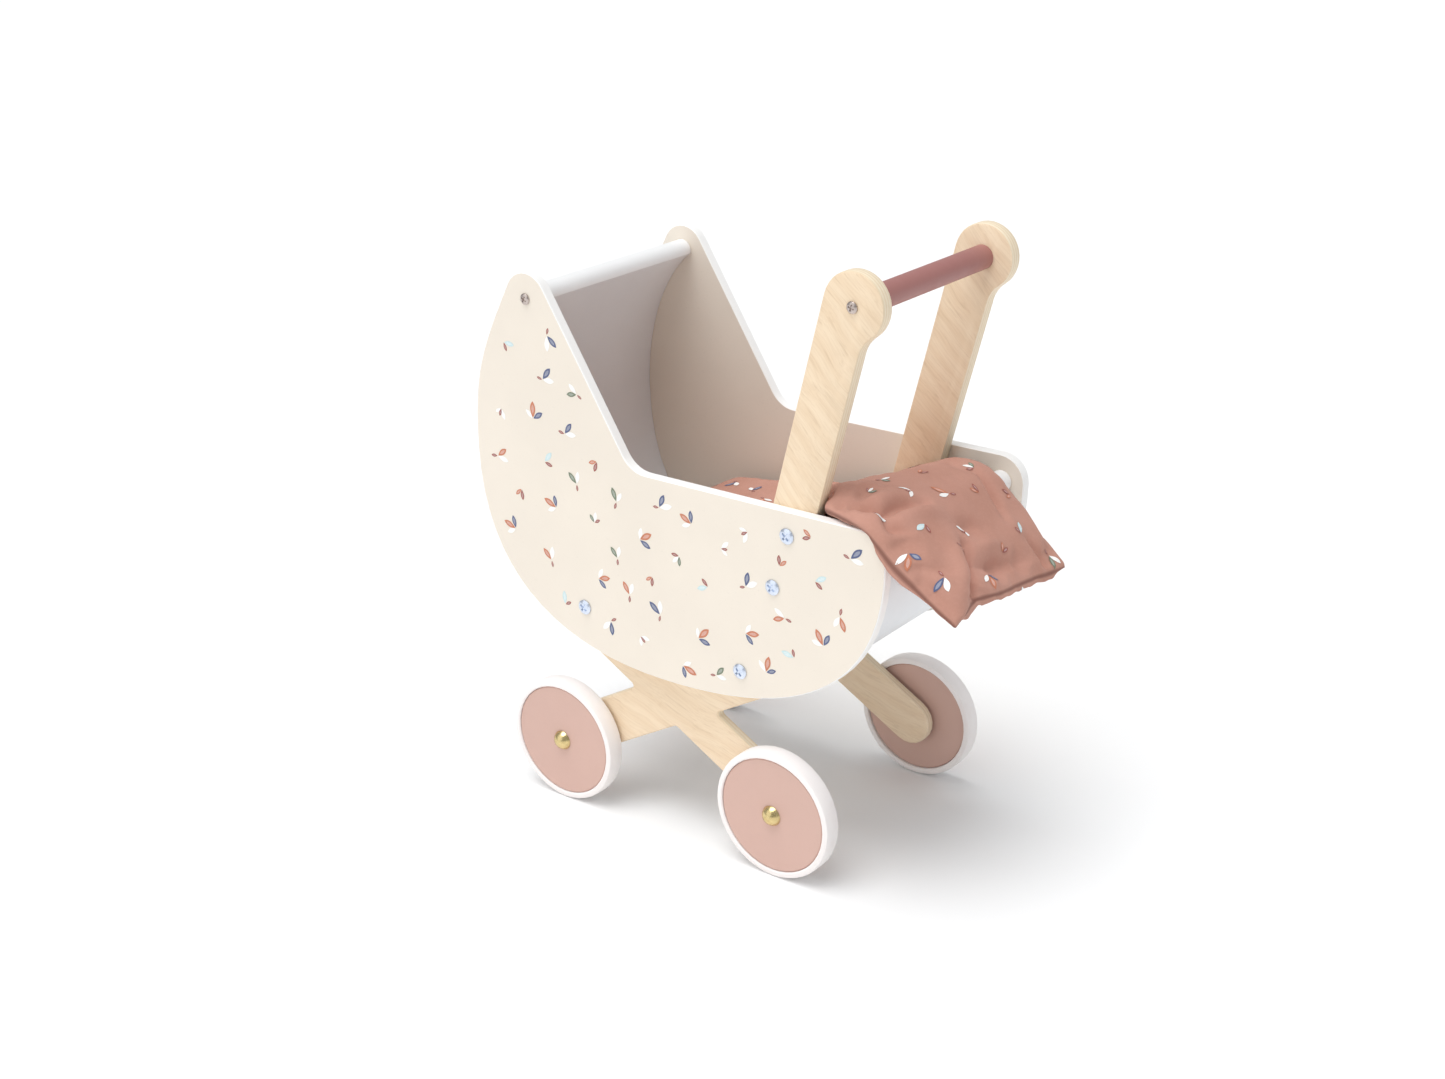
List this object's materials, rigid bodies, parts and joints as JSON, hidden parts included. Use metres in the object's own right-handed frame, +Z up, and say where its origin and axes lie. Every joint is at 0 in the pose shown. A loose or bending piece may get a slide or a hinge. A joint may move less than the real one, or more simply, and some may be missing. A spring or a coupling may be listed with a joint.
{
  "type": "doll stroller",
  "caption": "Toy doll pram: crescent side panels, bent body shell, slanted handle arms with a round bar, X-shaped chassis plates, spinning rubber-tyred wheels and a padded duvet.",
  "frame": {"origin": "on the floor, below the middle of the bounding box", "axes": "+Z up, +X from the hood end towards the handle end, +Y to the right-hand side panel"},
  "size_m": [0.4524, 0.2346, 0.4889],
  "materials": {
    "painted_panel": "matte cream paint with a small leaf print",
    "white_board": "matte white paint",
    "white_dowel": "matte white paint",
    "plywood": "clear matte lacquer over pale plywood",
    "painted_disc": "matte rose paint",
    "painted_bar": "matte terracotta paint",
    "tyre": "matte white rubber",
    "washer": "matte white",
    "brass": "satin",
    "zinc": "satin zinc plating",
    "cloth": "woven cotton with a small leaf print"
  },
  "bodies": {
    "frame": {"side_panel_left": "painted_panel", "side_panel_right": "painted_panel", "body_shell": "white_board", "hood_dowel": "white_dowel", "foot_dowel": "white_dowel", "handle_arm_left": "plywood", "handle_arm_right": "plywood", "handle_bar": "painted_bar", "chassis_plate_left": "plywood", "chassis_plate_right": "plywood", "hub_cap_hood_left": "brass", "hub_cap_hood_right": "brass", "hub_cap_foot_left": "brass", "hub_cap_foot_right": "brass", "axle_bolt_hood_left": "zinc", "axle_bolt_hood_right": "zinc", "axle_bolt_foot_left": "zinc", "axle_bolt_foot_right": "zinc", "washer_hood_left": "washer", "washer_hood_right": "washer", "washer_foot_left": "washer", "washer_foot_right": "washer", "chassis_bolt_hood_left": "zinc", "chassis_bolt_hood_right": "zinc", "chassis_bolt_foot_left": "zinc", "chassis_bolt_foot_right": "zinc", "arm_bolt_lower_left": "zinc", "arm_bolt_lower_right": "zinc", "arm_bolt_upper_left": "zinc", "arm_bolt_upper_right": "zinc", "hood_screw_left": "zinc", "hood_screw_right": "zinc", "handle_screw_left": "zinc", "handle_screw_right": "zinc"},
    "wheel_hood_left": {"wheel_disc_hood_left": "painted_disc", "tyre_hood_left": "tyre"},
    "wheel_hood_right": {"wheel_disc_hood_right": "painted_disc", "tyre_hood_right": "tyre"},
    "wheel_foot_left": {"wheel_disc_foot_left": "painted_disc", "tyre_foot_left": "tyre"},
    "wheel_foot_right": {"wheel_disc_foot_right": "painted_disc", "tyre_foot_right": "tyre"},
    "duvet": {"duvet": "cloth"}
  },
  "joints": [
    {"name": "wheel_spin_hood_left", "type": "hinge", "parent": "frame", "child": "wheel_hood_left", "pos_m": [-0.142, -0.1036, 0.0534], "axis": [0, 1, 0], "continuous": true},
    {"name": "wheel_spin_hood_right", "type": "hinge", "parent": "frame", "child": "wheel_hood_right", "pos_m": [-0.142, 0.1036, 0.0534], "axis": [0, 1, 0], "continuous": true},
    {"name": "wheel_spin_foot_left", "type": "hinge", "parent": "frame", "child": "wheel_foot_left", "pos_m": [0.0745, -0.1036, 0.0534], "axis": [0, 1, 0], "continuous": true},
    {"name": "wheel_spin_foot_right", "type": "hinge", "parent": "frame", "child": "wheel_foot_right", "pos_m": [0.0745, 0.1036, 0.0534], "axis": [0, 1, 0], "continuous": true},
    {"name": "duvet_lift", "type": "slide", "parent": "frame", "child": "duvet", "axis": [0.2656, 0, 0.9641], "range_m": [0, 0.1]}
  ]
}
